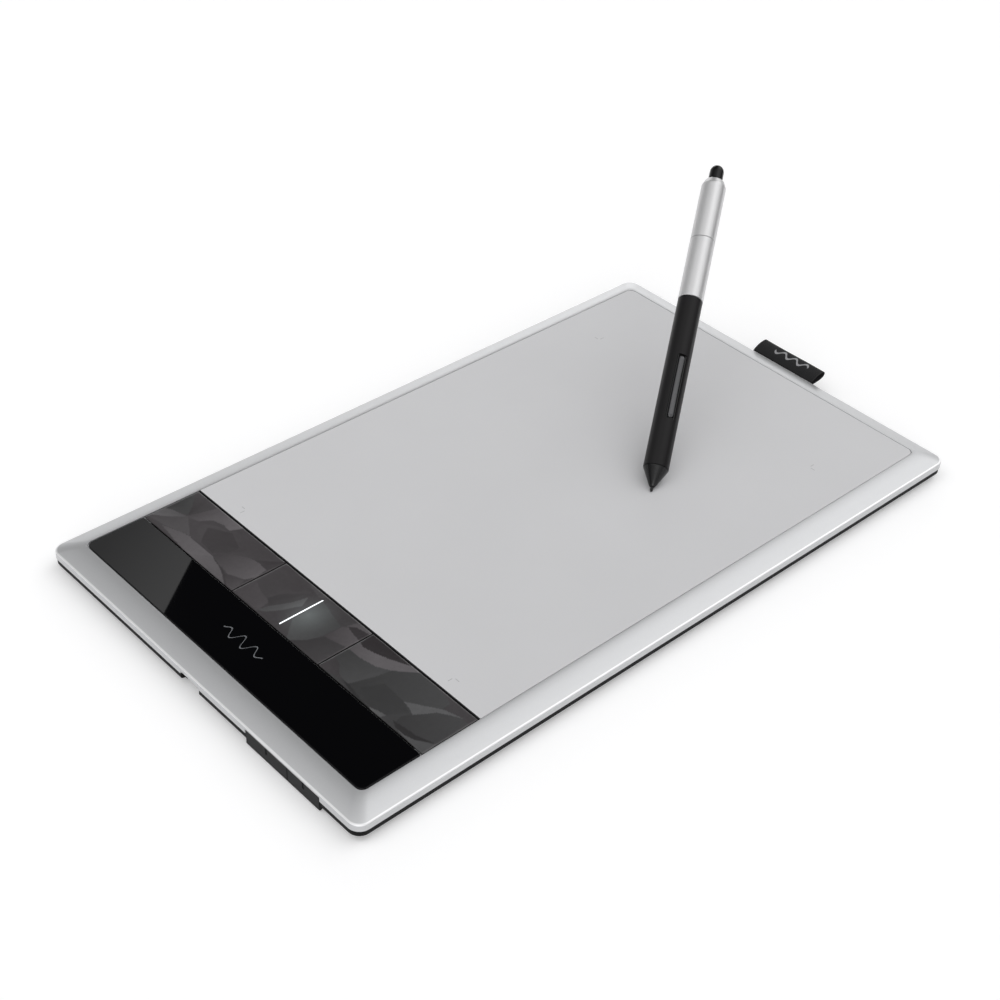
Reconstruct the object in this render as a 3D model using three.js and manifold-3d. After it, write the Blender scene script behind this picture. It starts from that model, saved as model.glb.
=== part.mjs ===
// Pen drawing tablet with its pen. Millimetres, +Z up, the floor at z = 0.
// +X runs along the long side towards the pen loop, +Y away from the user.
// Inside the tablet group x = 0, y = 0 is the centre of the casing; the whole
// group is shifted so that the row origin is the bottom centre of the bounding box.
import * as THREE from 'three';
import { mergeVertices } from 'three/addons/utils/BufferGeometryUtils.js';
import Module from 'manifold-3d';

// ---------------------------------------------------------------- dimensions
const HALF_X = 176.0, HALF_Y = 102.7;      // casing half length and half depth
const CORNER_R = 5.6;                      // casing corner radius in plan
const Z_TOP = 12.3;                        // drawing surface
const Z_WALL_TOP = 8.7, Z_WALL_BOT = 5.9;  // silver side wall
const Z_RIM = 2.85;                        // lowest edge of the dark visible rim
const Z_PLATE = 1.0;                       // underside of the bottom shell
const P_X0 = -165.35, P_X1 = 165.5;        // recess that holds the panels
const P_Y0 = -91.45, P_Y1 = 92.65;
const P_R = 3.3;                           // recess corner radius
const GLOSS_X1 = -135.7, SHEET_X0 = -107.0;// key strip lies between these
const DIV_UP = 29.2, DIV_LOW = -28.0;      // divisions between the keys
const KEY_GAP = 0.15;                      // half the gap around a key
const LOOP_OUT = 185.45;                   // outermost point of the ribbon loop
const SHIFT_X = -(LOOP_OUT - HALF_X) / 2;  // puts the origin at the box centre

const NOTCH_Y0 = -4.2, NOTCH_Y1 = 7.8, NOTCH_X = -162.0, NOTCH_Z = 7.3;
const DOOR_Y0 = -80.3, DOOR_SPLIT = -61.0, DOOR_Y1 = -35.3;
const BAT_X1 = -112.4, MOD_X1 = -137.4;    // inner ends of the two bays

const PEN_TIP = new THREE.Vector3(47.2, -34.8, 12.72);
const PEN_AXIS = new THREE.Vector3(0.72507, 0.50111, 0.47241).normalize();
const PEN_R = 5.86;                        // grip radius
const BARREL_R = 5.98;                     // silver barrel and rear cap radius
const PEN_FRONT = new THREE.Vector3(-0.145989, -0.556744, 0.817763); // side switch faces this way
const PEN_LEN = 177.0;

// ---------------------------------------------------------------- helpers
const wasm = await Module(); wasm.setup();

function toManifold(geometry) {
  const g = geometry.clone(); g.deleteAttribute('normal'); g.deleteAttribute('uv');
  const m = mergeVertices(g, 1e-5);
  const pos = m.getAttribute('position');
  return new wasm.Manifold(new wasm.Mesh({
    numProp: 3,
    vertProperties: new Float32Array(pos.array),
    triVerts: new Uint32Array(m.index.array),
  }));
}
function toGeometry(manifold) {
  const mesh = manifold.getMesh();
  const g = new THREE.BufferGeometry();
  g.setAttribute('position', new THREE.BufferAttribute(new Float32Array(mesh.vertProperties), 3));
  g.setIndex(new THREE.BufferAttribute(new Uint32Array(mesh.triVerts), 1));
  return g;
}
function cut(base, ...tools) {
  let m = toManifold(base);
  for (const t of tools) m = m.subtract(toManifold(t));
  return toGeometry(m);
}
function join(base, ...others) {
  let m = toManifold(base);
  for (const t of others) m = m.add(toManifold(t));
  return toGeometry(m);
}
// axis-aligned box between two corners
function box(x0, x1, y0, y1, z0, z1) {
  const g = new THREE.BoxGeometry(x1 - x0, y1 - y0, z1 - z0);
  g.translate((x0 + x1) / 2, (y0 + y1) / 2, (z0 + z1) / 2);
  return g;
}
// upright cylinder
function post(x, y, z0, z1, r, seg = 20) {
  const g = new THREE.CylinderGeometry(r, r, z1 - z0, seg);
  g.rotateX(Math.PI / 2); g.translate(x, y, (z0 + z1) / 2);
  return g;
}
// counter-clockwise rounded rectangle; r is one radius or four (+x+y, -x+y, -x-y, +x-y)
function loop(x0, x1, y0, y1, r, n = 8) {
  const rs = Array.isArray(r) ? r : [r, r, r, r], pts = [];
  const c = [[x1, y1, -1, -1, 0], [x0, y1, 1, -1, 90], [x0, y0, 1, 1, 180], [x1, y0, -1, 1, 270]];
  c.forEach(([cx, cy, sx, sy, a0], q) => {
    for (let k = 0; k <= n; k++) {
      const a = (a0 + 90 * k / n) * Math.PI / 180;
      pts.push([cx + sx * rs[q] + rs[q] * Math.cos(a), cy + sy * rs[q] + rs[q] * Math.sin(a)]);
    }
  });
  return pts;
}
// flat plate with rounded corners
function slab(x0, x1, y0, y1, z0, z1, r, n = 6) {
  const s = new THREE.Shape(loop(x0, x1, y0, y1, r, n).map(([x, y]) => new THREE.Vector2(x, y)));
  const g = new THREE.ExtrudeGeometry(s, { depth: z1 - z0, bevelEnabled: false, steps: 1 });
  g.translate(0, 0, z0);
  return g;
}
// solid through a list of {pts, z} loops with equal point counts.
// closed = true joins the last loop back to the first (a frame); otherwise both ends are capped.
function loft(loops, closed) {
  const n = loops[0].pts.length, pos = [], idx = [];
  for (const l of loops) for (const [x, y] of l.pts) pos.push(x, y, l.z);
  const m = loops.length, last = closed ? m : m - 1;
  for (let i = 0; i < last; i++) {
    const a = i * n, b = ((i + 1) % m) * n;
    for (let k = 0; k < n; k++) {
      const k2 = (k + 1) % n;
      idx.push(a + k, a + k2, b + k2, a + k, b + k2, b + k);
    }
  }
  if (!closed) {
    const cap = (l, off, flip) => {
      const tris = THREE.ShapeUtils.triangulateShape(l.pts.map(([x, y]) => new THREE.Vector2(x, y)), []);
      for (const [p, q, r] of tris) flip ? idx.push(off + p, off + r, off + q) : idx.push(off + p, off + q, off + r);
    };
    cap(loops[0], 0, true); cap(loops[m - 1], (m - 1) * n, false);
  }
  const g = new THREE.BufferGeometry();
  g.setAttribute('position', new THREE.BufferAttribute(new Float32Array(pos), 3));
  g.setIndex(idx);
  return g;
}
// polygon in the XZ plane, given counter-clockwise seen from -Y, extruded from y0 to y1
function prismY(ptsXZ, y0, y1) {
  const s = new THREE.Shape(ptsXZ.map(([x, z]) => new THREE.Vector2(x, z)));
  const g = new THREE.ExtrudeGeometry(s, { depth: y1 - y0, bevelEnabled: false, steps: 1 });
  g.rotateX(Math.PI / 2);            // (x, z, d) -> (x, -d, z)
  g.translate(0, y1, 0);
  return g;
}
// strip of constant thickness along a centre line in the XZ plane
function strip(line, t, y0, y1) {
  const n = line.length, left = [], right = [];
  for (let i = 0; i < n; i++) {
    const a = line[Math.max(i - 1, 0)], b = line[Math.min(i + 1, n - 1)];
    const dx = b[0] - a[0], dz = b[1] - a[1], l = Math.hypot(dx, dz);
    const nx = -dz / l * t / 2, nz = dx / l * t / 2;
    left.push([line[i][0] + nx, line[i][1] + nz]); right.push([line[i][0] - nx, line[i][1] - nz]);
  }
  return prismY(right.concat(left.reverse()), y0, y1);
}
// solid of revolution about local Z from [radius, z] pairs
function lathe(profile, seg = 32) {
  const g = new THREE.LatheGeometry(profile.map(([r, z]) => new THREE.Vector2(r, z)), seg);
  g.rotateX(Math.PI / 2);            // the profile's height becomes local Z
  return g;
}

const tablet = new THREE.Group();
tablet.position.x = SHIFT_X;
const pen = new THREE.Group();
tablet.add(pen);
const object = new THREE.Group();
object.add(tablet);

function add(name, geometry, color, roughness, metalness = 0, parent = tablet) {
  const mesh = new THREE.Mesh(geometry, new THREE.MeshStandardMaterial({ color, roughness, metalness }));
  mesh.name = name; parent.add(mesh);
  return mesh;
}
const SILVER = 0xb9babd, BLACK = 0x1b1b1d, SHEET = 0xc6c6c8, STEEL = 0xa8a9ab, GREEN = 0x1f5a38,
      GOLD = 0xc9a44a, CHIP = 0x202022, RUBBER = 0x262628, AMBER = 0xb0701e, WHITE = 0xf2f4f6;

// ---------------------------------------------------------------- top casing
const inset = (d, r, z) => ({ pts: loop(-HALF_X + d, HALF_X - d, -HALF_Y + d, HALF_Y - d, r), z });
const recess = (d, r, z) => ({ pts: loop(P_X0 + d, P_X1 - d, P_Y0 + d, P_Y1 - d, r), z });
// blends from the casing outline (t = 0) to the recess outline (t = 1)
const between = (t, r, z) => ({
  pts: loop(-HALF_X + t * (HALF_X + P_X0), HALF_X - t * (HALF_X - P_X1),
    -HALF_Y + t * (HALF_Y + P_Y0), HALF_Y - t * (HALF_Y - P_Y1), r), z });
const SCREWS = [[-163.6, -90.6], [0, -90.6], [163.6, -90.6], [-163.6, 90.6], [0, 90.6], [163.6, 90.6]];
let bezel = loft([
  inset(0, CORNER_R, Z_WALL_BOT), inset(0, CORNER_R, Z_WALL_TOP), inset(0.22, 5.4, 9.12), inset(0.75, 5.1, 9.38),
  between(0.22, 4.8, 10.05), between(0.42, 4.5, 10.85), between(0.62, 4.1, 11.55), between(0.80, 3.8, 12.03),
  between(0.92, 3.5, 12.24), recess(0, P_R, Z_TOP), recess(0, P_R, 11.15), recess(5, 1.2, 11.15), recess(5, 1.2, 10.3),
  inset(7, 2.4, 10.3), inset(1.9, 3.8, 8.3), inset(1.9, 3.8, Z_WALL_BOT)], true);
bezel = join(bezel, ...SCREWS.map(([x, y]) => post(x, y, 4.3, 10.7, 2.3)));
bezel = cut(bezel,
  ...SCREWS.map(([x, y]) => post(x, y, 3, 9.3, 0.95, 12)),
  box(-180, -170, NOTCH_Y0, NOTCH_Y1, 0, NOTCH_Z),                 // cable recess
  box(-180, -173.8, DOOR_Y0 - 0.3, DOOR_Y1 + 0.3, 0, 8.12),        // covers
  box(173.8, 180, -22.6, 18.2, 0, 8.25));                          // ribbon slot
add('top_bezel', bezel, SILVER, 0.36, 0.55);

add('drawing_sheet', slab(SHEET_X0, P_X1 - 0.15, P_Y0 + 0.15, P_Y1 - 0.15, 11.4, Z_TOP, [P_R, 0.05, 0.05, P_R]), SHEET, 0.62);
add('gloss_panel', slab(P_X0 + 0.15, GLOSS_X1, P_Y0 + 0.15, P_Y1 - 0.15, 11.4, Z_TOP, [0.05, P_R, P_R, 0.05]), 0x0b0b0c, 0.08);

// plate that stiffens the drawing surface and frames the keys
add('panel_carrier', cut(
  slab(P_X0 + 5.3, P_X1 - 5.3, P_Y0 + 5.3, P_Y1 - 5.3, 10.2, 10.95, 1.0, 3),
  box(-135.9, -106.8, -85.4, 86.4, 9, 12)), 0x3a3a3c, 0.6);

// ---------------------------------------------------------------- keys
const KX0 = GLOSS_X1 + 2 * KEY_GAP, KX1 = SHEET_X0 - 2 * KEY_GAP, KXC = (KX0 + KX1) / 2;
const KEY_BOT = 11.3;
const rib = (y0, y1) => box(KX0 + 2.2, KX1 - 2.2, y0, y1, 10.5, KEY_BOT + 0.2);
const stem = (y) => post(KXC, y, 10.05, 10.8, 1.6, 14);
add('key_upper', join(box(KX0, KX1, DIV_UP + KEY_GAP, P_Y1 - 0.3, KEY_BOT, Z_TOP), rib(32, 70), stem(45)), 0x4a4549, 0.3);
add('key_lower', join(box(KX0, KX1, P_Y0 + 0.3, DIV_LOW - KEY_GAP, KEY_BOT, Z_TOP), rib(-69, -31), stem(-44)), 0x4a4549, 0.3);
const BAR_Y = 0.7;
add('key_middle', cut(
  join(box(KX0, KX1, DIV_LOW + KEY_GAP, DIV_UP - KEY_GAP, KEY_BOT, Z_TOP), rib(-25, 26.4), stem(15), stem(-13.6)),
  box(KXC - 11.38, KXC + 11.38, BAR_Y - 0.47, BAR_Y + 0.47, 9, 13)), 0x4a4549, 0.3);
add('light_bar', box(KXC - 11.2, KXC + 11.2, BAR_Y - 0.3, BAR_Y + 0.3, 9.85, Z_TOP), WHITE, 0.25);
add('key_board', box(-134.5, -108.5, -60, 61.5, 8.3, 8.9), GREEN, 0.5);
add('status_led', box(KXC - 1.6, KXC + 1.6, BAR_Y - 0.8, BAR_Y + 0.8, 8.95, 9.65), WHITE, 0.3);
[45, 15, -13.6, -44].forEach((y, i) =>
  add(`dome_switch_${i + 1}`, lathe([[0, 9.0], [3.0, 9.0], [3.0, 9.15], [2.2, 9.45], [1.0, 9.6], [0, 9.62]], 18)
    .translate(KXC, y, 0), STEEL, 0.35, 0.9));

// ---------------------------------------------------------------- sensing stack and electronics
add('touch_sensor_film', slab(-102, 120.5, -70.5, 71, 9.6, 9.9, 1.5, 3), AMBER, 0.4);
add('pen_sensor_board', slab(-104, 122.5, -73, 73.5, 8.7, 9.3, 1.5, 3), GREEN, 0.5);
add('shield_plate', slab(-101, 120, -71, 71.5, 8.1, 8.4, 1.5, 3), STEEL, 0.35, 0.9);
add('main_board', cut(box(-160.3, -108, -30, 60, 6.7, 7.7), post(-155, 55, 6, 8, 1.6), post(-113, 55, 6, 8, 1.6)), GREEN, 0.5);
add('controller_chip', box(-137, -127, 18, 28, 5.4, 6.6), CHIP, 0.45);
add('shield_can', cut(box(-140, -122, -22, -4, 4.5, 6.6), box(-139.7, -122.3, -21.7, -4.3, 4.8, 7)), STEEL, 0.35, 0.9);
add('flex_connector', box(-118, -109.6, 33, 53, 5.2, 6.0), 0xd9d2c0, 0.5);
add('sensor_flex_cable', strip([[-111, 6.3], [-107.2, 6.3], [-106.6, 6.6], [-106.4, 7.2], [-106.3, 8.0], [-105.9, 8.4], [-103.0, 8.5]], 0.16, 34, 52), AMBER, 0.45);
add('key_flex_cable', strip([[-115.5, 8.15], [-120.5, 8.1], [-121.0, 8.0], [-120.5, 7.9], [-115.5, 7.86]], 0.12, -2, 10), AMBER, 0.45);

const USB_Y = (NOTCH_Y0 + NOTCH_Y1) / 2;
add('usb_socket', cut(box(-162.4, -152.8, USB_Y - 3.85, USB_Y + 3.85, 2.5, 6.4),
  box(-170, -153.2, USB_Y - 3.5, USB_Y + 3.5, 2.85, 6.05)), STEEL, 0.3, 0.9);
add('usb_tongue', box(-161.0, -153.4, USB_Y - 2.5, USB_Y + 2.5, 4.5, 5.3), CHIP, 0.5);

// ---------------------------------------------------------------- bottom shell
let shell = loft([
  inset(7.0, 3.0, Z_PLATE), inset(5.6, 3.4, 1.35), inset(0.75, 5.0, Z_RIM), inset(0.35, 5.3, 3.3), inset(0.35, 5.3, 5.6),
  inset(2.2, 3.6, 5.6), inset(2.2, 3.6, 7.9), inset(3.4, 2.6, 7.9), inset(3.4, 2.6, 4.4), inset(7.6, 1.6, 2.4)], false);
shell = join(shell,
  box(-173.0, -160.7, -5.5, 9.1, 1.2, 8.0),                        // walls around the cable recess
  box(-173.0, -111.2, -61.9, -34.4, 1.2, 8.0),                     // battery bay walls
  box(-173.0, -136.2, -81.3, -61.5, 1.2, 8.0),                     // module bay walls
  ...SCREWS.map(([x, y]) => post(x, y, 1.2, 3.9, 3.6)));
const FEET = [[-118, -86], [128, -86], [-128, 86], [128, 86]];
shell = cut(shell,
  box(-180, NOTCH_X, NOTCH_Y0, NOTCH_Y1, 0, NOTCH_Z), post(-172.3, NOTCH_Y0 + 0.4, 0, NOTCH_Z, 3.2),
  box(-163, -158, USB_Y - 4.05, USB_Y + 4.05, 2.3, 6.6),
  box(-180, BAT_X1, -60.3, -36.0, 2.1, 7.2), box(-180, BAT_X1, -61.0, DOOR_Y1 + 0.2, 0, 2.3),
  box(-180, MOD_X1, -79.4, -62.0, 2.1, 7.2), box(-180, MOD_X1, DOOR_Y0 - 0.2, -60.9, 0, 2.3),
  box(-180, -173.7, DOOR_Y0 - 0.2, DOOR_Y1 + 0.2, 0, 9),
  box(172.0, 174.5, -22.6, 18.2, 6.2, 9),
  ...SCREWS.flatMap(([x, y]) => [post(x, y, 0, 2.7, 2.3), post(x, y, 0, 5, 1.2, 12)]),
  ...FEET.map(([x, y]) => slab(x - 15.2, x + 15.2, y - 4.7, y + 4.7, 0, 1.6, 4.7)));
add('bottom_shell', shell, BLACK, 0.45);
FEET.forEach(([x, y], i) => add(`foot_${i + 1}`, slab(x - 15, x + 15, y - 4.5, y + 4.5, 0, 1.45, 4.5), RUBBER, 0.85));
SCREWS.forEach(([x, y], i) => add(`case_screw_${i + 1}`, cut(
  lathe([[0, 1.2], [1.9, 1.2], [1.9, 2.3], [0.8, 2.5], [0.8, 8.6], [0.4, 9.0], [0, 9.0]], 18).translate(x, y, 0),
  box(x - 1.3, x + 1.3, y - 0.25, y + 0.25, 0, 1.7), box(x - 0.25, x + 0.25, y - 1.3, y + 1.3, 0, 1.7)), STEEL, 0.35, 0.9));

// two sliding covers: an outer wall and a sole that closes the bay from below
const cover = (y0, y1, xin) => {
  const pts = [[-175.9, 0.9], [-175.5, 0.45], [-174.6, 0.45], [-174.2, 0.9], [xin, 0.9], [xin, 2.0], [-174.2, 2.0], [-174.2, 7.95], [-175.9, 7.95]];
  const yc = (y0 + y1) / 2;
  return cut(prismY(pts, y0, y1), box(-177, -175.5, yc - 0.5, yc + 0.5, 4.6, 9));
};
add('battery_cover', cover(DOOR_SPLIT + 0.15, DOOR_Y1, BAT_X1 - 0.2), 0x3b3b3d, 0.5);
add('module_cover', cover(DOOR_Y0, DOOR_SPLIT - 0.15, MOD_X1 - 0.2), 0x3b3b3d, 0.5);
add('battery_contact_1', box(-113.1, -112.6, -45.5, -42.5, 3.0, 6.4), GOLD, 0.3, 1);
add('battery_contact_2', box(-113.1, -112.6, -53.5, -50.5, 3.0, 6.4), GOLD, 0.3, 1);
add('module_connector', cut(box(-141.2, -137.6, -77.5, -64, 2.7, 6.9), box(-145, -138.6, -76.7, -64.8, 3.5, 6.1)), CHIP, 0.5);

// ---------------------------------------------------------------- pen loop
add('pen_loop', strip([[169.3, 6.85], [176.2, 6.85], [178.6, 7.15], [182.2, 8.35], [184.4, 9.75], [185.15, 11.0],
  [184.75, 12.05], [183.2, 12.4], [180.6, 11.3], [178.2, 9.35], [176.8, 8.05], [175.8, 7.7], [169.3, 7.65]], 0.6, -21.9, 15.6),
  0x161617, 0.9);
add('loop_anchor', cut(box(167.6, 171.6, -23, 18, 5.2, 8.9), box(168.9, 173, -22.3, 16, 6.3, 8.2)), BLACK, 0.5);

// ---------------------------------------------------------------- pen (local Z runs from the nib to the eraser)
{
  const side = new THREE.Vector3().crossVectors(PEN_AXIS, PEN_FRONT).normalize();
  const front = new THREE.Vector3().crossVectors(side, PEN_AXIS).normalize();
  pen.position.copy(PEN_TIP);
  pen.quaternion.setFromRotationMatrix(new THREE.Matrix4().makeBasis(front, side, PEN_AXIS));
}
const R = PEN_R;
add('pen_nose', lathe([[0.95, 2.4], [1.15, 2.4], [1.5, 2.8], [5.55, 10.9], [5.8, 11.3], [4.0, 11.3], [4.0, 10.4], [0.95, 3.7], [0.95, 2.4]], 32), 0x232325, 0.4, 0, pen);
add('pen_grip', cut(lathe([[4.55, 11.6], [R - 0.05, 11.6], [R, 12.0], [R, 99.5], [R - 0.1, 99.8], [4.55, 99.8], [4.55, 11.6]], 32),
  box(3.5, 7, -2.5, 2.5, 34.8, 68.8)), 0x222224, 0.7, 0, pen);
add('pen_core_tube', cut(lathe([[3.6, 11.6], [4.25, 11.6], [4.25, 131.0], [3.6, 131.0], [3.6, 11.6]], 24),
  box(2.0, 5, -2.3, 2.3, 35.0, 68.6)), 0x3c3c3f, 0.6, 0, pen);
add('pen_switch_frame', cut(box(4.65, 5.2, -2.3, 2.3, 35.1, 68.5), box(4, 6, -1.5, 1.5, 35.7, 68.2)), 0x101011, 0.2, 0, pen);
// two-way rocker with a slight crown along its length
add('pen_side_switch', (() => {
  const s = new THREE.Shape([[36.2, 3.7], [67.9, 3.7], [67.9, 5.25], [63.5, 5.72], [53.0, 5.5], [51.1, 5.5], [40.6, 5.72], [36.2, 5.25]].map(([l, x]) => new THREE.Vector2(l, x)));
  const g = new THREE.ExtrudeGeometry(s, { depth: 2.4, bevelEnabled: false, steps: 1 });
  g.translate(0, 0, -1.2);
  g.applyMatrix4(new THREE.Matrix4().set(0, 1, 0, 0, 0, 0, 1, 0, 1, 0, 0, 0, 0, 0, 0, 1));   // (l, x, y) -> (x, y, l)
  return g;
})(), 0x6d6d70, 0.4, 0, pen);
add('pen_circuit_board', box(-0.5, 0.5, -2.9, 2.9, 41, 118), GREEN, 0.5, 0, pen);
add('pen_tact_switch_1', box(0.6, 3.05, -1.4, 1.4, 42.6, 45.8), 0x2b2b2d, 0.5, 0, pen);
add('pen_tact_switch_2', box(0.6, 3.05, -1.4, 1.4, 58.4, 61.6), 0x2b2b2d, 0.5, 0, pen);
add('pen_ferrite', lathe([[1.1, 14.5], [2.2, 14.5], [2.2, 30.5], [1.1, 30.5], [1.1, 14.5]], 20), 0x35353a, 0.6, 0, pen);
add('pen_coil', lathe([[2.35, 16], [3.2, 16], [3.2, 26], [2.35, 26], [2.35, 16]], 20), 0xb5652a, 0.4, 0.4, pen);
add('pen_pressure_sensor', lathe([[0, 34.6], [3.2, 34.6], [3.2, 40.4], [0, 40.4]], 20), 0x2d2d30, 0.5, 0, pen);
add('pen_barrel', lathe([[4.55, 100.1], [BARREL_R - 0.08, 100.1], [BARREL_R, 100.25], [BARREL_R, 132.9], [BARREL_R - 0.12, 133.05], [4.55, 133.05], [4.55, 100.1]], 32), 0xc3c4c6, 0.28, 0.7, pen);
add('pen_rear_cap', lathe([[4.55, 133.35], [BARREL_R - 0.12, 133.35], [BARREL_R, 133.5], [BARREL_R, 163.6], [BARREL_R - 0.2, 164.4], [5.0, 167.0], [4.75, 167.5], [3.75, 167.5], [3.75, 166.2], [4.55, 165.2], [4.55, 133.35]], 32), 0xc3c4c6, 0.28, 0.7, pen);
add('pen_eraser_sensor', lathe([[0, 139], [3.4, 139], [3.4, 151], [0, 151]], 20), 0x2d2d30, 0.5, 0, pen);
add('pen_eraser', lathe([[0, 152.0], [1.6, 152.0], [1.6, 161], [3.5, 161], [3.5, 172.6], [3.35, 174.0], [2.85, 175.4], [2.0, 176.4], [1.0, 176.9], [0, PEN_LEN]], 28), 0x141415, 0.2, 0, pen);
add('nib', lathe([[0, 0.0], [0.32, 0.1], [0.55, 0.42], [0.65, 1.0], [0.65, 33.8], [0, 33.8]], 16), 0x1a1a1b, 0.5, 0, pen);

export default object;
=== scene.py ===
import math
import bmesh
import bpy
from mathutils import Matrix, Vector, noise


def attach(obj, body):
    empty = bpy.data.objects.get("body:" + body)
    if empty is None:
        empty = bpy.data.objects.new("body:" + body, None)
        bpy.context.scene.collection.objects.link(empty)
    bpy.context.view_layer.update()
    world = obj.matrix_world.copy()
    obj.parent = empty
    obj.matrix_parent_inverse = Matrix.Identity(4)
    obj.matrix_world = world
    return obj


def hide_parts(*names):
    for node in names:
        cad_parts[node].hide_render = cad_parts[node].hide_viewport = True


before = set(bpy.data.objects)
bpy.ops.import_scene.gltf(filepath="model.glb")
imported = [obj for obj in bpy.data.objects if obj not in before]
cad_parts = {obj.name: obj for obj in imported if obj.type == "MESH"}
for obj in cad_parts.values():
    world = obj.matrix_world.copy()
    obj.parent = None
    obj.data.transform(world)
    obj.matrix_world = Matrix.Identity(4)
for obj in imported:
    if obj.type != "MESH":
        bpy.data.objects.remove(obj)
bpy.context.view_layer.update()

scene = bpy.context.scene

# ------------------------------------------------------------------ frame, in millimetres of the casing
SX = -4.725                                   # casing centre in the row frame
HX, HY = 176.0, 102.7
PX0, PX1, PY0, PY1, PR = -165.35, 165.5, -91.45, 92.65, 3.3
ZT = 12.3


def P(x, y, z):
    return Vector(((x + SX) / 1000, y / 1000, z / 1000))


# ------------------------------------------------------------------ camera
cam_data = bpy.data.cameras.new("camera")
cam_data.lens = 64.913
cam_data.sensor_width = 36.0
cam_data.clip_start = 0.01
cam_data.clip_end = 50
cam = bpy.data.objects.new("camera", cam_data)
scene.collection.objects.link(cam)
right = Vector((0.7358263, -0.6756006, 0.0460803))
down = Vector((-0.3894438, -0.4778652, -0.787387))
fwd = Vector((0.5539793, 0.5614344, -0.6147343))
rot = Matrix((right, -down, -fwd)).transposed()
cam.matrix_world = Matrix.Translation((-0.4546667, -0.4430755, 0.5016991)) @ rot.to_4x4()
scene.camera = cam
scene.view_settings.view_transform = "Standard"
scene.view_settings.look = "None"

# ------------------------------------------------------------------ mesh helpers


def loop(x0, x1, y0, y1, r, n=16):
    rs = r if isinstance(r, (list, tuple)) else [r] * 4
    pts = []
    for cx, cy, sx, sy, a0, q in ((x1, y1, -1, -1, 0, 0), (x0, y1, 1, -1, 90, 1), (x0, y0, 1, 1, 180, 2), (x1, y0, -1, 1, 270, 3)):
        for k in range(n + 1):
            a = math.radians(a0 + 90 * k / n)
            pts.append((cx + sx * rs[q] + rs[q] * math.cos(a), cy + sy * rs[q] + rs[q] * math.sin(a)))
    return pts


def new_object(name, bm, smooth=35.0):
    bmesh.ops.recalc_face_normals(bm, faces=bm.faces)
    me = bpy.data.meshes.new(name)
    bm.to_mesh(me)
    bm.free()
    ob = bpy.data.objects.new(name, me)
    scene.collection.objects.link(ob)
    if smooth:
        me.shade_smooth()
        me.set_sharp_from_angle(angle=math.radians(smooth))
    return ob


def loft(loops, closed=False):
    """bmesh through a list of (points, z) loops with equal counts; a frame if closed, else capped."""
    bm = bmesh.new()
    rings = [[bm.verts.new(P(x, y, z)) for x, y in pts] for pts, z in loops]
    n = len(rings[0])
    pairs = list(zip(rings, rings[1:])) + ([(rings[-1], rings[0])] if closed else [])
    for a, b in pairs:
        for k in range(n):
            bm.faces.new((a[k], a[(k + 1) % n], b[(k + 1) % n], b[k]))
    if not closed:
        bm.faces.new(list(reversed(rings[0])))
        bm.faces.new(rings[-1])
    return bm


def box_bm(x0, x1, y0, y1, z0, z1, r=0.0, seg=3):
    bm = bmesh.new()
    bmesh.ops.create_cube(bm, size=1)
    for v in bm.verts:
        v.co = P(x0 if v.co.x < 0 else x1, y0 if v.co.y < 0 else y1, z0 if v.co.z < 0 else z1)
    if r:
        bmesh.ops.bevel(bm, geom=list(bm.edges), offset=r / 1000, segments=seg, profile=0.5, affect="EDGES")
    return bm


def boolean(ob, cutters, operation="DIFFERENCE"):
    for c in cutters:
        m = ob.modifiers.new("cut", "BOOLEAN")
        m.operation = operation
        m.solver = "EXACT"
        m.object = c
    dg = bpy.context.evaluated_depsgraph_get()
    me = bpy.data.meshes.new_from_object(ob.evaluated_get(dg))
    ob.modifiers.clear()
    old = ob.data
    ob.data = me
    bpy.data.meshes.remove(old)
    for c in cutters:
        bpy.data.objects.remove(c)
    return ob


def soften(ob, width, angle=40.0, seg=2, smooth=35.0):
    """Rounds the sharp edges of a finished mesh, in mesh data."""
    bm = bmesh.new()
    bm.from_mesh(ob.data)
    bmesh.ops.remove_doubles(bm, verts=bm.verts, dist=1e-6)
    bmesh.ops.dissolve_limit(bm, angle_limit=math.radians(0.4), verts=bm.verts, edges=bm.edges)
    edges = [e for e in bm.edges if len(e.link_faces) == 2 and e.calc_face_angle(0) > math.radians(angle)]
    if edges and width:
        bmesh.ops.bevel(bm, geom=edges, offset=width / 1000, segments=seg, profile=0.5, affect="EDGES", clamp_overlap=True)
    bmesh.ops.remove_doubles(bm, verts=bm.verts, dist=2e-7)
    bmesh.ops.dissolve_degenerate(bm, dist=1e-7, edges=bm.edges)
    bmesh.ops.recalc_face_normals(bm, faces=bm.faces)
    bm.to_mesh(ob.data)
    bm.free()
    ob.data.shade_smooth()
    ob.data.set_sharp_from_angle(angle=math.radians(smooth))
    return ob


def place(ob, body, mat, nodes=()):
    ob.data.materials.clear()
    ob.data.materials.append(mat)
    w = ob.modifiers.new("even_normals", "WEIGHTED_NORMAL")
    w.keep_sharp = True
    w.weight = 100
    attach(ob, body)
    if nodes:
        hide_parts(*nodes)
    return ob


def refine(node, body, mat, width=0.12, angle=40.0, seg=2, smooth=35.0):
    """A rounded copy of a CAD node, in the same place."""
    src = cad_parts[node]
    ob = bpy.data.objects.new(node + "_fine", src.data.copy())
    scene.collection.objects.link(ob)
    soften(ob, width, angle, seg, smooth)
    return place(ob, body, mat, [node])


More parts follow.
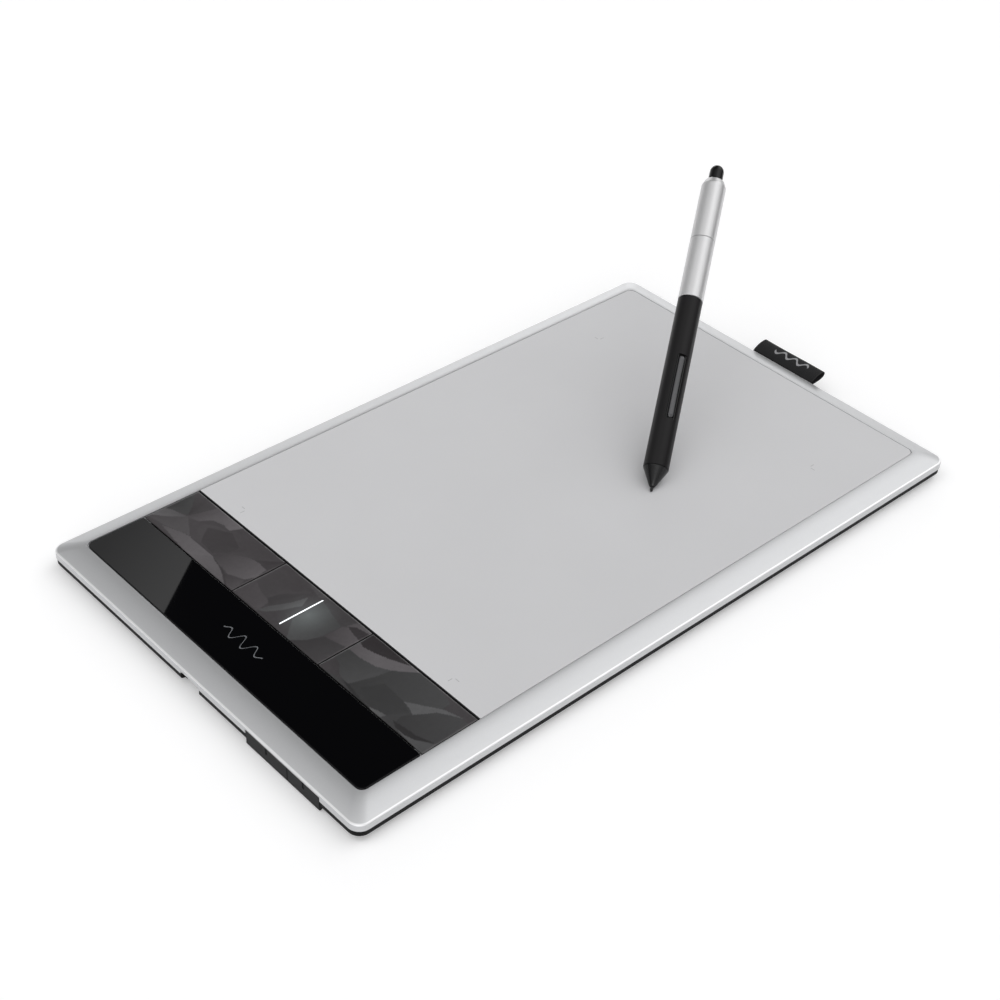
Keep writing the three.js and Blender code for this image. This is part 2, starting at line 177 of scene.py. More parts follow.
def lathe_bm(profile, seg=96):
    """Solid of revolution about local Z, in pen coordinates (mm), closed at both ends on the axis or as a ring."""
    bm = bmesh.new()
    rings = []
    for r, z in profile:
        if r < 1e-6:
            rings.append([bm.verts.new((0, 0, z / 1000))])
        else:
            rings.append([bm.verts.new((r / 1000 * math.cos(2 * math.pi * k / seg), r / 1000 * math.sin(2 * math.pi * k / seg), z / 1000)) for k in range(seg)])
    ring = profile[0][0] > 1e-6
    pairs = list(zip(rings, rings[1:])) + ([(rings[-1], rings[0])] if ring else [])
    for a, b in pairs:
        for k in range(seg):
            k2 = (k + 1) % seg
            if len(a) == 1 and len(b) == 1:
                continue
            if len(a) == 1:
                bm.faces.new((a[0], b[k2], b[k]))
            elif len(b) == 1:
                bm.faces.new((a[k], a[k2], b[0]))
            else:
                bm.faces.new((a[k], a[k2], b[k2], b[k]))
    return bm


# ------------------------------------------------------------------ material helpers


class Nodes:
    def __init__(self, name, color, rough, metallic=0.0, **sockets):
        self.m = bpy.data.materials.new(name)
        self.m.use_nodes = True
        self.t = self.m.node_tree
        self.b = self.t.nodes["Principled BSDF"]
        self.b.inputs["Base Color"].default_value = (*color, 1)
        self.b.inputs["Roughness"].default_value = rough
        self.b.inputs["Metallic"].default_value = metallic
        for k, v in sockets.items():
            self.b.inputs[k.replace("_", " ")].default_value = v
        self._co = None

    def node(self, kind, **props):
        n = self.t.nodes.new(kind)
        for k, v in props.items():
            setattr(n, k, v)
        return n

    def link(self, a, b):
        self.t.links.new(a, b)

    @property
    def co(self):
        if self._co is None:
            self._co = self.node("ShaderNodeTexCoord").outputs["Object"]
        return self._co

    @property
    def xyz(self):
        if not hasattr(self, "_xyz"):
            self._xyz = self.node("ShaderNodeSeparateXYZ")
            self.link(self.co, self._xyz.inputs[0])
        return self._xyz.outputs

    def math(self, op, a, b=None, clamp=False):
        n = self.node("ShaderNodeMath", operation=op, use_clamp=clamp)
        for i, v in enumerate((a, b)):
            if v is None:
                continue
            if isinstance(v, (int, float)):
                n.inputs[i].default_value = v
            else:
                self.link(v, n.inputs[i])
        return n.outputs[0]

    def noise(self, scale, detail=4.0, rough=0.55, vector=None, distortion=0.0):
        n = self.node("ShaderNodeTexNoise")
        n.inputs["Scale"].default_value = scale
        n.inputs["Detail"].default_value = detail
        n.inputs["Roughness"].default_value = rough
        n.inputs["Distortion"].default_value = distortion
        self.link(vector or self.co, n.inputs["Vector"])
        return n.outputs["Fac"]

    def voronoi(self, scale, feature="F1", vector=None, out="Distance"):
        n = self.node("ShaderNodeTexVoronoi", feature=feature)
        n.inputs["Scale"].default_value = scale
        self.link(vector or self.co, n.inputs["Vector"])
        return n.outputs[out]

    def range(self, v, a, b, c, d, clamp=True):
        n = self.node("ShaderNodeMapRange", clamp=clamp)
        self.link(v, n.inputs["Value"])
        for k, x in zip(("From Min", "From Max", "To Min", "To Max"), (a, b, c, d)):
            n.inputs[k].default_value = x
        return n.outputs["Result"]

    def mix(self, fac, c1, c2):
        n = self.node("ShaderNodeMix", data_type="RGBA")
        if isinstance(fac, (int, float)):
            n.inputs["Factor"].default_value = fac
        else:
            self.link(fac, n.inputs["Factor"])
        for i, c in ((6, c1), (7, c2)):
            if isinstance(c, tuple):
                n.inputs[i].default_value = (*c, 1)
            else:
                self.link(c, n.inputs[i])
        return n.outputs[2]

    def color(self, out):
        self.link(out, self.b.inputs["Base Color"])
        return self

    def rough(self, out):
        self.link(out, self.b.inputs["Roughness"])
        return self

    def bump_self(self):
        return self.bump((self.noise(700, 3.0), 0.03, 0.00002))

    def bump(self, *heights):
        """heights are (output, strength, distance in metres), applied one on another"""
        last = None
        for out, strength, dist in heights:
            n = self.node("ShaderNodeBump")
            n.inputs["Strength"].default_value = strength
            n.inputs["Distance"].default_value = dist
            self.link(out, n.inputs["Height"])
            if last is not None:
                self.link(last, n.inputs["Normal"])
            last = n.outputs["Normal"]
        self.link(last, self.b.inputs["Normal"])
        return self


def silver(name, color, rough=0.34, metallic=0.72, flake=5200, relief=0.05, fleck=0.065, cut=None):
    n = Nodes(name, color, rough, metallic)
    f = n.noise(flake, 2.0, 0.6)
    c = n.mix(n.range(f, 0.3, 0.7, 0, 1), tuple(x * (1 - fleck) for x in color), tuple(min(1, x * (1 + fleck)) for x in color))
    if cut:
        # painted highlight: a narrow light band along the rim edge, between two heights, in mm
        z = n.math("MULTIPLY", n.xyz[2], 1000)
        on = n.math("MULTIPLY", n.range(z, cut[0], cut[0] + 0.18, 0, 1), n.range(z, cut[1] - 0.14, cut[1], 1, 0))
        c = n.mix(on, c, (0.93, 0.93, 0.94))
    n.color(c)
    n.rough(n.range(n.noise(900, 5.0, 0.6), 0.3, 0.7, rough - 0.035, rough + 0.035))
    n.bump((n.noise(2600, 3.0, 0.6), relief, 0.00004), (f, relief, 0.00002))
    return n.m


def plastic(name, color, rough, grain=3200, amount=0.12, dist=0.00003, spread=0.08, spec=0.5):
    n = Nodes(name, color, rough)
    n.b.inputs["Specular IOR Level"].default_value = spec
    g = n.noise(grain, 3.0, 0.6)
    n.color(n.mix(n.range(n.noise(60, 4.0, 0.5), 0.3, 0.7, 0, 1), tuple(x * (1 - spread) for x in color), tuple(x * (1 + spread) for x in color)))
    n.rough(n.range(g, 0.3, 0.7, rough - 0.04, rough + 0.05))
    n.bump((g, amount, dist))
    return n.m


# ------------------------------------------------------------------ materials
M = {}
# the frame's silver carries a painted highlight band along its rim edge
M["silver"] = silver("silver_paint", (0.555, 0.56, 0.57), 0.38, 0.66, relief=0.03, fleck=0.03, cut=(8.8, 9.46))
M["pen_silver"] = silver("pen_silver_paint", (0.62, 0.62, 0.625), 0.36, 0.72, 2600, 0.003, 0.02)
M["shell"] = plastic("black_shell", (0.0035, 0.0035, 0.004), 0.5, 2600, 0.3, 0.00003, spec=0.1)
M["cover"] = plastic("grey_cover", (0.009, 0.009, 0.010), 0.48, 2600, 0.25, 0.00003, spec=0.15)
M["inner"] = plastic("inner_plastic", (0.03, 0.03, 0.032), 0.55)
M["rubber"] = plastic("foot_rubber", (0.017, 0.017, 0.018), 0.82, 1800, 0.5, 0.00006)
M["chip"] = plastic("chip_plastic", (0.012, 0.012, 0.013), 0.5)
M["gold"] = silver("gold_contact", (0.78, 0.56, 0.22), 0.25, 1.0)
M["copper"] = silver("copper_wire", (0.65, 0.27, 0.11), 0.3, 1.0, 3000)
M["ferrite"] = plastic("ferrite", (0.03, 0.03, 0.035), 0.6)
M["nib"] = plastic("nib_plastic", (0.01, 0.01, 0.011), 0.42, spec=0.3)


def steel(name):
    n = Nodes(name, (0.56, 0.56, 0.57), 0.32, 1.0)
    s = n.node("ShaderNodeMapping")
    s.inputs["Scale"].default_value = (60, 2200, 800)
    n.link(n.co, s.inputs["Vector"])
    g = n.noise(1.0, 3.0, 0.6, vector=s.outputs[0])
    n.rough(n.range(g, 0.3, 0.7, 0.26, 0.4))
    n.bump((g, 0.08, 0.00002))
    return n.m


M["steel"] = steel("bare_steel")


def board(name, mask=(0.010, 0.085, 0.036), run=(0.03, 0.17, 0.07)):
    n = Nodes(name, mask, 0.35)
    # copper runs under the mask: a grid of fine lines that a noise switches on and off
    lx = n.math("LESS_THAN", n.math("PINGPONG", n.math("MULTIPLY", n.xyz[0], 1000), 0.8), 0.16)
    ly = n.math("LESS_THAN", n.math("PINGPONG", n.math("MULTIPLY", n.xyz[1], 1000), 0.8), 0.16)
    pick = n.math("GREATER_THAN", n.noise(70, 2.0), 0.5)
    runs = n.math("MAXIMUM", n.math("MULTIPLY", lx, pick), n.math("MULTIPLY", ly, n.math("SUBTRACT", 1.0, pick)))
    n.color(n.mix(runs, mask, run))
    n.bump((runs, 0.3, 0.00003))
    return n.m


M["board"] = board("circuit_board")
M["black_board"] = board("black_circuit_board", (0.004, 0.004, 0.004), (0.010, 0.010, 0.010))
M["film"] = plastic("polyimide_film", (0.42, 0.16, 0.02), 0.25, 900, 0.05)


# drawing sheet: fine matte texture, a black printed edge beside the keys and four pairs of faint corner strokes
def sheet_material():
    base = (0.632, 0.632, 0.644)
    n = Nodes("drawing_surface", base, 0.58)
    n.b.inputs["Specular IOR Level"].default_value = 0.35
    # distances from the centre of the active area, in mm
    u = n.math("ABSOLUTE", n.math("SUBTRACT", n.math("MULTIPLY", n.xyz[0], 1000), 9.26 + SX))
    v = n.math("ABSOLUTE", n.math("SUBTRACT", n.math("MULTIPLY", n.xyz[1], 1000), 0.29))

    def within(a, lo, hi):
        return n.math("MULTIPLY", n.math("GREATER_THAN", a, lo), n.math("LESS_THAN", a, hi))
    U0, V0 = 108.55, 68.15
    s1 = n.math("MULTIPLY", within(u, U0 + 0.9, U0 + 3.1), within(v, V0 - 0.17, V0 + 0.17))
    s2 = n.math("MULTIPLY", within(v, V0 + 0.9, V0 + 3.1), within(u, U0 - 0.17, U0 + 0.17))
    strokes = n.math("MAXIMUM", s1, s2)
    mottled = n.mix(n.range(n.noise(18, 3.0), 0.3, 0.7, 0, 1), tuple(x * 0.985 for x in base), tuple(x * 1.015 for x in base))
    grain = n.noise(2800, 4.0, 0.65)
    c = n.mix(n.range(grain, 0.3, 0.7, 0, 0.35), mottled, tuple(x * 0.94 for x in base))
    c = n.mix(n.math("MULTIPLY", strokes, 0.6), c, (0.30, 0.30, 0.31))
    edge = n.math("LESS_THAN", n.math("MULTIPLY", n.xyz[0], 1000), -106.45 + SX)
    c = n.mix(edge, c, (0.004, 0.004, 0.005))
    n.color(c)
    n.rough(n.range(grain, 0.3, 0.7, 0.54, 0.64))
    n.bump((grain, 0.25, 0.00003))
    return n.m


M["sheet"] = sheet_material()


# gloss panel: black lacquer with a small printed pen-stroke wave
def gloss_material():
    n = Nodes("gloss_black", (0.0025, 0.0025, 0.003), 0.012)
    y = n.math("SUBTRACT", n.math("MULTIPLY", n.xyz[1], 1000), 1.0)
    x = n.math("SUBTRACT", n.math("MULTIPLY", n.xyz[0], 1000), -150.3 + SX)
    taper = n.math("SUBTRACT", 1.0, n.math("POWER", n.math("DIVIDE", n.math("ABSOLUTE", y), 13.0), 3.0))
    wave = n.math("MULTIPLY", n.math("MULTIPLY", n.math("SINE", n.math("MULTIPLY", y, 0.78)), 2.9), taper)
    d = n.math("ABSOLUTE", n.math("SUBTRACT", x, wave))
    on = n.math("MULTIPLY", n.math("LESS_THAN", d, 0.3), n.math("LESS_THAN", n.math("ABSOLUTE", y), 12.6))
    n.color(n.mix(on, (0.0025, 0.0025, 0.003), (0.17, 0.175, 0.185)))
    n.rough(n.range(n.noise(7, 3.0), 0.3, 0.7, 0.008, 0.02))
    return n.m


M["gloss"] = gloss_material()
M["pen_gloss"] = Nodes("pen_gloss_black", (0.0015, 0.0015, 0.0017), 0.1, Specular_IOR_Level=0.28).bump_self().m


def light_material():
    n = Nodes("light_guide", (0.9, 0.93, 0.95), 0.3)
    # a little brighter along the middle, where the lamp sits under the bar
    x = n.math("ABSOLUTE", n.math("SUBTRACT", n.math("MULTIPLY", n.xyz[0], 1000), -121.35 + SX))
    s = n.range(x, 0.0, 10.0, 1.25, 0.8)
    n.b.inputs["Emission Color"].default_value = (0.93, 0.97, 1.0, 1)
    n.link(s, n.b.inputs["Emission Strength"])
    return n.m


M["light"] = light_material()


# keys: dark translucent lacquer over folded facets, with painted light and shade on each facet; the middle one glows
# round the light bar
def key_material():
    n = Nodes("key_facets", (0.05, 0.045, 0.049), 0.3, Coat_Weight=0.2, Coat_Roughness=0.2)
    painted_facet_light = n.node("ShaderNodeAttribute", attribute_name="painted_facet_light").outputs["Fac"]
    cool = n.node("ShaderNodeAttribute", attribute_name="cool").outputs["Fac"]
    # painted light and shade: each facet's colour runs from dark to light by its painted light level
    warm_c = n.mix(painted_facet_light, (0.0235, 0.0195, 0.0215), (0.125, 0.115, 0.121))
    cool_c = n.mix(painted_facet_light, (0.0205, 0.0206, 0.0209), (0.114, 0.1155, 0.118))
    c = n.mix(cool, warm_c, cool_c)
    c = n.mix(n.range(n.noise(420, 5.0, 0.6), 0.35, 0.65, 0, 0.12), c, (0.02, 0.018, 0.02))
    n.color(c)
    x = n.math("SUBTRACT", n.math("MULTIPLY", n.xyz[0], 1000), -120.6 + SX)
    y = n.math("SUBTRACT", n.math("MULTIPLY", n.xyz[1], 1000), -2.6)
    r = n.math("SQRT", n.math("ADD", n.math("POWER", n.math("MULTIPLY", x, 0.78), 2.0), n.math("POWER", n.math("MULTIPLY", y, 0.92), 2.0)))
    fall = n.math("POWER", n.range(r, 0.0, 12.0, 1.0, 0.0), 1.7)
    n.b.inputs["Emission Color"].default_value = (0.80, 0.94, 0.93, 1)
    n.link(n.math("MULTIPLY", fall, 0.085), n.b.inputs["Emission Strength"])
    n.bump((n.noise(1500, 3.0, 0.6), 0.06, 0.00002))
    return n.m


M["key"] = key_material()
M["grip"] = plastic("pen_soft_touch", (0.0062, 0.0056, 0.0062), 0.36, 5200, 0.1, 0.00002, spec=0.2)
M["nose"] = plastic("pen_nose_satin", (0.006, 0.006, 0.0065), 0.22, 5200, 0.05, 0.00001, spec=0.42)
M["switch"] = plastic("switch_grey", (0.072, 0.072, 0.076), 0.34, 3600, 0.08, 0.00002)


# woven ribbon with a small woven wave
def ribbon_material(wave_at):
    n = Nodes("ribbon", (0.012, 0.012, 0.013), 0.85)
    n.b.inputs["Sheen Weight"].default_value = 0.12
    n.b.inputs["Specular IOR Level"].default_value = 0.25
    n.b.inputs["Sheen Roughness"].default_value = 0.5
    uv = n.node("ShaderNodeUVMap", uv_map="UVMap").outputs[0]
    sep = n.node("ShaderNodeSeparateXYZ")
    n.link(uv, sep.inputs[0])
    a, b = sep.outputs[0], sep.outputs[1]        # a along the strip, b across, both in mm
    warp = n.math("SINE", n.math("MULTIPLY", b, 2 * math.pi / 0.42))
    weft = n.math("SINE", n.math("MULTIPLY", a, 2 * math.pi / 0.42))
    cell = n.math("MULTIPLY", warp, weft)
    h = n.math("ADD", n.math("MULTIPLY", cell, 0.5), n.math("MULTIPLY", warp, 0.35))
    y = n.math("SUBTRACT", b, 17.6)
    wave = n.math("MULTIPLY", n.math("SINE", n.math("MULTIPLY", y, 0.9)), 1.25)
    d = n.math("ABSOLUTE", n.math("SUBTRACT", n.math("SUBTRACT", a, wave_at), wave))
    on = n.math("MULTIPLY", n.math("LESS_THAN", d, 0.55), n.math("LESS_THAN", n.math("ABSOLUTE", y), 10.5))
    # painted shade and highlight: the colour follows the weave height, darker in the low threads and lighter on the
    # raised ones
    dark = n.mix(n.range(h, -0.8, 0.8, 0, 1), (0.0065, 0.0065, 0.007), (0.020, 0.020, 0.021))
    lit = n.mix(n.range(h, -0.8, 0.8, 0, 1), (0.22, 0.22, 0.23), (0.42, 0.42, 0.43))
    n.color(n.mix(on, dark, lit))
    n.bump((h, 0.7, 0.00009))
    return n.m



# ------------------------------------------------------------------ casing


def ins(d, r, z, n=20):
    return loop(-HX + d, HX - d, -HY + d, HY - d, r, n), z


def rec(d, r, z, n=20):
    return loop(PX0 + d, PX1 - d, PY0 + d, PY1 - d, r, n), z


def btw(t, r, z, n=20):
    return loop(-HX + t * (HX + PX0), HX - t * (HX - PX1), -HY + t * (HY + PY0), HY - t * (HY - PY1), r, n), z


def crown():
    """the frame's smooth upper face, from the rim edge up to the panel"""
    knots = [(0.071, 9.38), (0.22, 10.05), (0.42, 10.85), (0.62, 11.55), (0.80, 12.03), (0.92, 12.24), (0.985, 12.3)]
    out = []
    for i in range(len(knots) - 1):
        p0, p1, p2, p3 = knots[max(i - 1, 0)], knots[i], knots[i + 1], knots[min(i + 2, len(knots) - 1)]
        for s in range(4):
            t = s / 4
            f = [0.5 * ((2 * p1[k]) + (-p0[k] + p2[k]) * t + (2 * p0[k] - 5 * p1[k] + 4 * p2[k] - p3[k]) * t * t + (-p0[k] + 3 * p1[k] - 3 * p2[k] + p3[k]) * t ** 3) for k in (0, 1)]
            out.append((f[0], 5.1 - 1.8 * f[0], f[1]))
    return out


frame_loops = [ins(0.12, 5.5, 5.9), ins(0, 5.6, 6.02), ins(0, 5.6, 8.55)]
for k in range(1, 7):
    a = math.radians(15 * k)
    frame_loops.append(ins(0.62 * (1 - math.cos(a)), 5.6 - 0.5 * (1 - math.cos(a)), 8.55 + 0.78 * math.sin(a)))
frame_loops += [btw(t, r, min(z, 12.3)) for t, r, z in crown()[1:]]
frame_loops += [btw(0.988, 3.34, 12.3), rec(-0.04, PR, 12.285), rec(0, PR, 12.24), rec(0, PR, 11.15), rec(5, 1.2, 11.15), rec(5, 1.2, 10.3), ins(7, 2.4, 10.3), ins(1.9, 3.8, 8.3), ins(1.9, 3.8, 5.9)]
bezel = new_object("frame_skin", loft(frame_loops, closed=True))
cutters = [
    new_object("c1", box_bm(-180, -170, -4.2, 7.8, 0, 7.3)),
    new_object("c2", box_bm(-180, -173.8, -80.6, -35.0, 0, 8.12)),
    new_object("c3", box_bm(173.8, 180, -22.6, 18.2, 0, 8.25)),
]
boolean(bezel, cutters)
bezel.data.shade_smooth()
bezel.data.set_sharp_from_angle(angle=math.radians(35))
place(bezel, "tablet", M["silver"], ["top_bezel"])

# the six screw posts under the frame stay as their own turned pieces
for i, (sx, sy) in enumerate([(-163.6, -90.6), (0, -90.6), (163.6, -90.6), (-163.6, 90.6), (0, 90.6), (163.6, 90.6)]):
    bm = bmesh.new()
    seg = 32
    rings = []
    for r, z in ((0.95, 4.3), (2.1, 4.3), (2.3, 4.5), (2.3, 10.29), (0.95, 10.29)):
        rings.append([bm.verts.new(P(sx + r * math.cos(2 * math.pi * k / seg), sy + r * math.sin(2 * math.pi * k / seg), z)) for k in range(seg)])
    for ra, rb in zip(rings, rings[1:] + rings[:1]):
        for k in range(seg):
            bm.faces.new((ra[k], ra[(k + 1) % seg], rb[(k + 1) % seg], rb[k]))
    place(new_object(f"screw_post_{i + 1}", bm), "tablet", M["inner"])

refine("bottom_shell", "tablet", M["shell"], 0.18, 40, 3)


def plate(name, x0, x1, y0, y1, z0, z1, r, edge, n=12):
    """flat plate with rounded corners and a rounded top edge"""
    rs = r if isinstance(r, (list, tuple)) else [r] * 4
    loops = [(loop(x0, x1, y0, y1, rs, n), z0)]
    for k in range(0, 6):
        a = math.radians(18 * k)
        d = edge * (1 - math.cos(a))
        loops.append((loop(x0 + d, x1 - d, y0 + d, y1 - d, [max(q - d, 0.02) for q in rs], n), z1 - edge + edge * math.sin(a)))
    for d in (edge + 0.05, edge + 0.6):
        loops.append((loop(x0 + d, x1 - d, y0 + d, y1 - d, [max(q - d, 0.02) for q in rs], n), z1))
    return new_object(name, loft(loops))


sheet = plate("drawing_sheet_fine", -107.0, PX1 - 0.15, PY0 + 0.15, PY1 - 0.15, 11.4, ZT, [PR, 0.25, 0.25, PR], 0.12)
place(sheet, "tablet", M["sheet"], ["drawing_sheet"])
panel = plate("gloss_panel_fine", PX0 + 0.6, -136.15, PY0 + 0.6, PY1 - 0.6, 11.4, ZT - 0.02, [0.4, PR - 0.4, PR - 0.4, 0.4], 0.14)
place(panel, "tablet", M["gloss"], ["gloss_panel"])

# ------------------------------------------------------------------ keys with folded facets
KX0, KX1 = -135.3, -107.55
KEYS = {"key_upper": (29.55, 92.1), "key_middle": (-27.65, 28.85), "key_lower": (-90.9, -28.35)}
FOLDS = {  # outline in mm (None: the whole key), painted light level at two of its corners, those corners, and how cool the grey is
    "key_upper": [
        (None, 0.27, 0.27, 0, 0, 0.1),
        ([(-125.1, 91.4), (-108.4, 92.2), (-115.1, 85.4), (-120.5, 81.7), (-123.6, 88.5)], 0.13, 0.23, 0, 2, 0.9),
        ([(-109.1, 92.1), (-106.2, 92.6), (-107.2, 76.8), (-110.9, 77.8), (-120.9, 81.2), (-116.0, 85.0)], 0.35, 0.1, 1, 4, 0.1),
        ([(-132.9, 92.3), (-125.5, 91.7), (-123.6, 88.5), (-121.3, 80.5), (-125.1, 83.6), (-128.9, 87.3)], 0.92, 0.56, 0, 3, 0.5),
        ([(-134.2, 92.3), (-128.9, 87.3), (-121.3, 80.5), (-128.1, 69.2), (-129.7, 74.2), (-132.3, 82.2)], 0.39, 0.52, 0, 3, 0.2),
        ([(-133.1, 82.8), (-129.7, 74.3), (-128.3, 69.0), (-128.6, 58.1), (-128.4, 52.3), (-130.7, 52.6), (-136.6, 55.4)], 0.66, 1, 0, 3, 0.1),
        ([(-135.5, 59.6), (-128.4, 52.3), (-130.5, 44.2), (-132.9, 38.2), (-135.7, 32.5), (-136.1, 44.9)], 1, 0.71, 0, 4, 0.1),
        ([(-120.9, 81.2), (-110.9, 77.8), (-107.2, 76.8), (-106.7, 58.0), (-110.3, 60.1), (-113.2, 61.2), (-112.9, 66.1), (-114.6, 71.7), (-119.7, 75.2), (-123.0, 77.7)], 0.35, 1, 0, 5, 0.0),
        ([(-121.5, 80.3), (-119.7, 75.2), (-114.7, 71.6), (-113.0, 66.0), (-113.2, 61.2), (-106.3, 58.5), (-106.4, 47.2), (-105.5, 29.8), (-108.2, 29.5), (-116.1, 38.4), (-117.4, 41.7), (-121.6, 48.8), (-128.0, 52.9), (-128.5, 59.1), (-128.1, 69.2)], 0.35, 0.23, 0, 8, 0.0),
        ([(-119.0, 69.1), (-113.4, 59.3), (-116.8, 49.4), (-122.6, 50.0), (-127.3, 53.9), (-127.0, 63.0)], 0.23, 0.13, 0, 2, 0.0),
        ([(-128.0, 52.9), (-121.8, 48.6), (-117.5, 41.6), (-116.2, 38.2), (-116.5, 30.7), (-122.5, 29.7), (-126.9, 31.3), (-130.6, 38.9), (-129.5, 46.5)], 0.23, 0.81, 0, 6, 0.0),
        ([(-116.3, 38.9), (-107.2, 29.2), (-116.6, 30.6)], 0.23, 0.16, 0, 2, 0.0),
        ([(-128.7, 51.9), (-129.4, 47.4), (-131.2, 39.8), (-135.1, 33.1), (-135.7, 33.5), (-132.4, 39.8), (-130.4, 45.2)], 0.16, 0.16, 0, 2, 0.0),
        ([(-131.2, 39.8), (-126.9, 31.3), (-135.2, 28.7), (-135.2, 33.2)], 0.2, 0.52, 0, 2, 0.0),
    ],
    "key_middle": [
        (None, 0.29, 0.29, 0, 0, 0.1),
        ([(-112.3, 28.3), (-107.5, 28.4), (-107.5, 13.3), (-114.5, 13.1), (-113.1, 23.9)], 0.31, 0.23, 0, 2, 0.0),
        ([(-134.4, 28.6), (-123.9, 27.8), (-126.5, 21.0), (-127.4, 14.0), (-135.1, 12.6)], 0.35, 0.47, 0, 3, 0.0),
        ([(-126.5, 16.1), (-120.5, 14.2), (-112.1, 7.2), (-124.3, 7.5), (-129.6, 11.9)], 0.2, 0.31, 0, 2, 0.3),
        ([(-134.7, 13.2), (-129.6, 11.9), (-121.1, 7.8), (-113.9, 5.8), (-119.0, 3.2), (-126.4, 6.4), (-132.4, 9.9)], 0.52, 0.86, 0, 3, 0.8),
        ([(-108.9, 11.4), (-105.7, 5.8), (-106.4, -1.5), (-110.5, 2.9)], 0.47, 0.35, 0, 2, 0.3),
        ([(-126.5, -0.2), (-110.7, 0.2), (-112.2, -8.1), (-114.6, -16.6), (-123.0, -16.2), (-130.4, -14.8), (-137.0, -9.2)], 0.61, 0.39, 0, 4, 1.0),
        ([(-110.7, 0.2), (-106.8, -2.0), (-108.2, -19.5), (-114.7, -16.7), (-112.6, -7.8)], 0.31, 0.23, 0, 2, 0.3),
        ([(-136.6, -8.7), (-129.9, -14.2), (-123.4, -16.8), (-120.5, -27.1), (-135.3, -28.0), (-136.8, -16.8)], 0.16, 0.35, 1, 4, 0.4),
        ([(-123.4, -16.8), (-114.5, -16.9), (-112.9, -18.8), (-114.4, -28.0), (-120.7, -27.2)], 0.31, 0.76, 0, 3, 0.0),
        ([(-112.8, -18.6), (-110.0, -21.0), (-108.8, -27.5), (-114.4, -28.0)], 0.07, 0.13, 0, 2, 0.0),
        ([(-113.2, -17.6), (-108.0, -19.2), (-107.0, -28.1), (-108.9, -27.7), (-110.1, -21.1)], 0.56, 0.81, 0, 2, 0.0),
    ],
    "key_lower": [
        (None, 0.27, 0.27, 0, 0, 0.8),
        ([(-135.5, -29.1), (-127.6, -29.0), (-126.0, -31.2), (-130.0, -35.1), (-133.5, -41.1)], 0.31, 0.16, 0, 2, 0.1),
        ([(-127.6, -29.0), (-120.8, -29.0), (-118.9, -43.3), (-115.4, -49.5), (-123.6, -47.5), (-133.5, -44.0), (-132.5, -37.5), (-129.1, -34.0)], 0.23, 0.47, 0, 5, 0.9),
        ([(-114.6, -28.9), (-107.2, -28.4), (-107.6, -35.5), (-107.1, -53.7), (-110.0, -47.4), (-112.8, -41.9), (-114.1, -37.4), (-114.9, -33.9), (-115.4, -31.4)], 0, 0, 0, 4, 0.0),
        ([(-120.7, -28.8), (-114.4, -29.1), (-115.4, -31.4), (-114.9, -33.9), (-114.1, -37.4), (-112.3, -42.8), (-107.2, -53.7), (-107.7, -58.0), (-111.7, -53.2), (-115.3, -49.4), (-118.9, -43.3), (-120.3, -35.9)], 0.61, 1, 0, 4, 0.1),
        ([(-133.5, -44.0), (-123.7, -47.6), (-115.4, -49.5), (-111.7, -53.2), (-107.6, -57.8), (-107.4, -74.2), (-110.1, -78.0), (-114.0, -78.2), (-119.1, -71.3), (-122.8, -65.6), (-124.9, -71.7), (-129.0, -70.8), (-133.2, -66.4), (-135.5, -59.0), (-135.4, -50.1)], 0.13, 0.43, 0, 5, 0.9),
        ([(-130.7, -48.7), (-122.2, -53.2), (-122.8, -65.6), (-125.3, -71.4), (-133.2, -66.4), (-135.5, -59.0)], 0.13, 0.2, 0, 2, 0.9),
        ([(-107.3, -57.5), (-107.2, -91.5), (-112.0, -91.3), (-111.6, -86.7), (-113.8, -78.7), (-109.9, -77.8), (-108.1, -69.3)], 0.39, 0.27, 0, 2, 0.1),
        ([(-123.0, -65.4), (-119.1, -71.3), (-113.9, -78.8), (-111.6, -87.0), (-114.5, -83.0), (-117.1, -78.2), (-125.0, -73.2), (-123.6, -69.4)], 0.86, 0.92, 0, 2, 0.9),
        ([(-129.0, -70.8), (-125.0, -73.2), (-117.1, -78.2), (-111.7, -86.8), (-111.8, -91.1), (-128.4, -90.5), (-131.1, -82.5), (-132.5, -72.1)], 0.16, 0.39, 0, 4, 0.8),
        ([(-133.1, -39.7), (-133.0, -44.1), (-135.5, -59.0), (-136.4, -54.3)], 0, 0.07, 0, 2, 0.9),
        ([(-135.3, -58.8), (-133.7, -62.7), (-132.9, -66.8), (-135.8, -66.0)], 0.92, 0.76, 0, 2, 0.9),
        ([(-132.4, -70.5), (-131.7, -76.1), (-131.1, -82.5), (-128.1, -90.6), (-133.0, -84.0), (-134.4, -79.3), (-134.2, -74.1)], 0, 0, 0, 3, 0.6),
        ([(-134.6, -74.6), (-134.4, -79.3), (-133.0, -84.0), (-128.2, -90.7), (-136.3, -91.7)], 0.71, 0.52, 0, 3, 0.9),
    ],
}


def inside(x, y, pts):
    hit = False
    for (xa, ya), (xb, yb) in zip(pts, pts[1:] + pts[:1]):
        if (ya > y) != (yb > y) and x < xa + (y - ya) * (xb - xa) / (yb - ya):
            hit = not hit
    return hit


